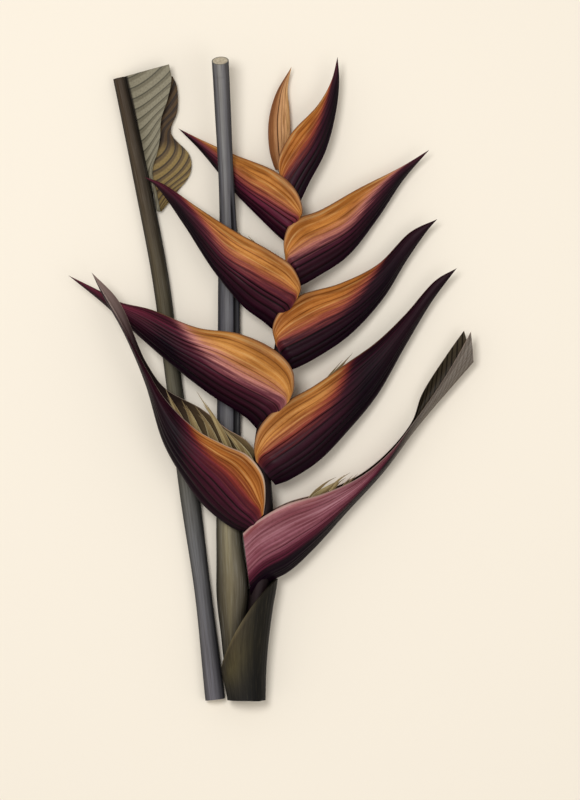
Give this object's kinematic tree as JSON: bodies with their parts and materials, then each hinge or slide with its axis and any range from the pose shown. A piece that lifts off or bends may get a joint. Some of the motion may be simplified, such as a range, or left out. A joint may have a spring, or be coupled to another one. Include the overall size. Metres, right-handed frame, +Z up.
{
  "type": "heliconia flower",
  "caption": "Cut heliconia shoot laid flat: folded boat-shaped bracts in two ranks on a zigzag stem, pointed flowers inside them, cut leaf stalks beside it.",
  "frame": {"origin": "centre of the bounding box, on the surface that the shoot lies on", "axes": "+Y along the shoot from its cut foot to its tip, +X to the right seen from above, +Z up from the surface"},
  "size_m": [0.2525, 0.3997, 0.0377],
  "materials": {
    "bract_skin": "waxy bract skin, dark purple along the keel, mauve band, orange ochre by the margin, ribbed",
    "lowest_bract_skin": "waxy mauve-pink bract skin, fine parallel veins, grey-green leafy tip",
    "top_bract_skin": "pale ochre young bract skin, ribbed",
    "rachis_skin": "dark maroon stem skin",
    "dark_sheath": "dark olive leaf sheath, fine fibres along it",
    "grey_stalk": "blue-grey leaf stalk with a waxy bloom, olive at its foot",
    "brown_stalk": "brown-grey leaf stalk, darker towards its top",
    "leaf_green": "thin olive leaf blade, grey-green below, slanting veins",
    "flower_straw": "straw-olive flower tepals, fine veins along them"
  },
  "bodies": {
    "root": {"rachis": "rachis_skin", "stem_sheath": "dark_sheath", "cut_stalk": "grey_stalk", "leaf_stalk": "brown_stalk", "leaf_blade": "leaf_green", "bract_1": "lowest_bract_skin", "bract_2": "bract_skin", "bract_3": "bract_skin", "bract_4": "bract_skin", "bract_5": "bract_skin", "bract_6": "bract_skin", "bract_7": "bract_skin", "bract_8": "bract_skin", "bract_9": "bract_skin", "bract_10": "top_bract_skin", "flower_1a": "flower_straw", "flower_1b": "flower_straw", "flower_1c": "flower_straw", "flower_2a": "flower_straw", "flower_2b": "flower_straw", "flower_2c": "flower_straw", "flower_2d": "flower_straw", "flower_2e": "flower_straw", "flower_3a": "flower_straw", "flower_3b": "flower_straw", "flower_6a": "flower_straw", "flower_6b": "flower_straw"}
  },
  "joints": []
}
